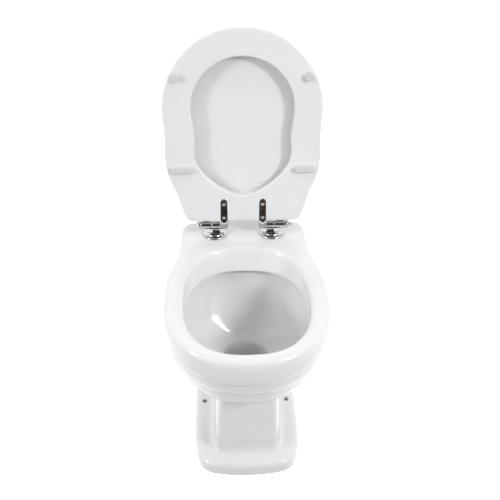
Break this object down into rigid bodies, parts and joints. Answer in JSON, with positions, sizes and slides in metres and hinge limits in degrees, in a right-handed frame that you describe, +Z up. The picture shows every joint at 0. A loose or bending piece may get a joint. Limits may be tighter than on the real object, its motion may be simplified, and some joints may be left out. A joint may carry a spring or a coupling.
{
  "type": "close coupled toilet",
  "caption": "White china toilet pan with a rear cistern shelf and waste outlet, and a seat and lid that swing on chrome top-fixed hinges.",
  "frame": {"origin": "on the floor, under the middle of the part's footprint", "axes": "+Z up, front of the bowl towards -Y, +X to the right of someone facing the front of the bowl"},
  "size_m": [0.356, 0.66, 0.8812],
  "materials": {
    "china": "glossy vitreous glaze",
    "white_lacquer": "satin white lacquer",
    "clear_buffer": "milky translucent",
    "black_rubber": "matt",
    "white_nylon": "moulded",
    "screw_steel": "polished",
    "bolt_steel": "plated",
    "chrome": "polished"
  },
  "bodies": {
    "pan": {"pan": "china", "hinge_pillar_left": "chrome", "hinge_pillar_right": "chrome", "hinge_pin_left": "chrome", "hinge_pin_right": "chrome", "hinge_cap_left": "chrome", "hinge_cap_right": "chrome", "rosette_left": "chrome", "rosette_right": "chrome", "hinge_base_left": "chrome", "hinge_base_right": "chrome", "base_gasket_left": "black_rubber", "base_gasket_right": "black_rubber", "fixing_bolt_left": "bolt_steel", "fixing_bolt_right": "bolt_steel", "deck_bush_left": "black_rubber", "deck_bush_right": "black_rubber", "wing_nut_left": "white_nylon", "wing_nut_right": "white_nylon"},
    "seat": {"seat": "white_lacquer", "seat_front_buffer_left": "clear_buffer", "seat_front_buffer_right": "clear_buffer", "seat_rear_buffer_left": "clear_buffer", "seat_rear_buffer_right": "clear_buffer", "seat_strap_left": "chrome", "seat_strap_right": "chrome", "seat_strap_screws": "screw_steel"},
    "lid": {"lid": "white_lacquer", "lid_buffer_left": "clear_buffer", "lid_buffer_right": "clear_buffer", "lid_strap_left": "chrome", "lid_strap_right": "chrome", "lid_strap_screws": "screw_steel"},
    "button": {"release_button": "chrome"}
  },
  "joints": [
    {"name": "seat_hinge", "type": "hinge", "parent": "pan", "child": "seat", "pos_m": [0, 0.119, 0.431], "axis": [1, 0, 0], "range_deg": [0, 100]},
    {"name": "lid_hinge", "type": "hinge", "parent": "seat", "child": "lid", "pos_m": [0, 0.119, 0.431], "axis": [-1, 0, 0], "range_deg": [0, 75]},
    {"name": "button_press", "type": "slide", "parent": "pan", "child": "button", "axis": [-1, 0, 0], "range_m": [0, 0.0025], "stiffness_N_per_m": 300}
  ]
}
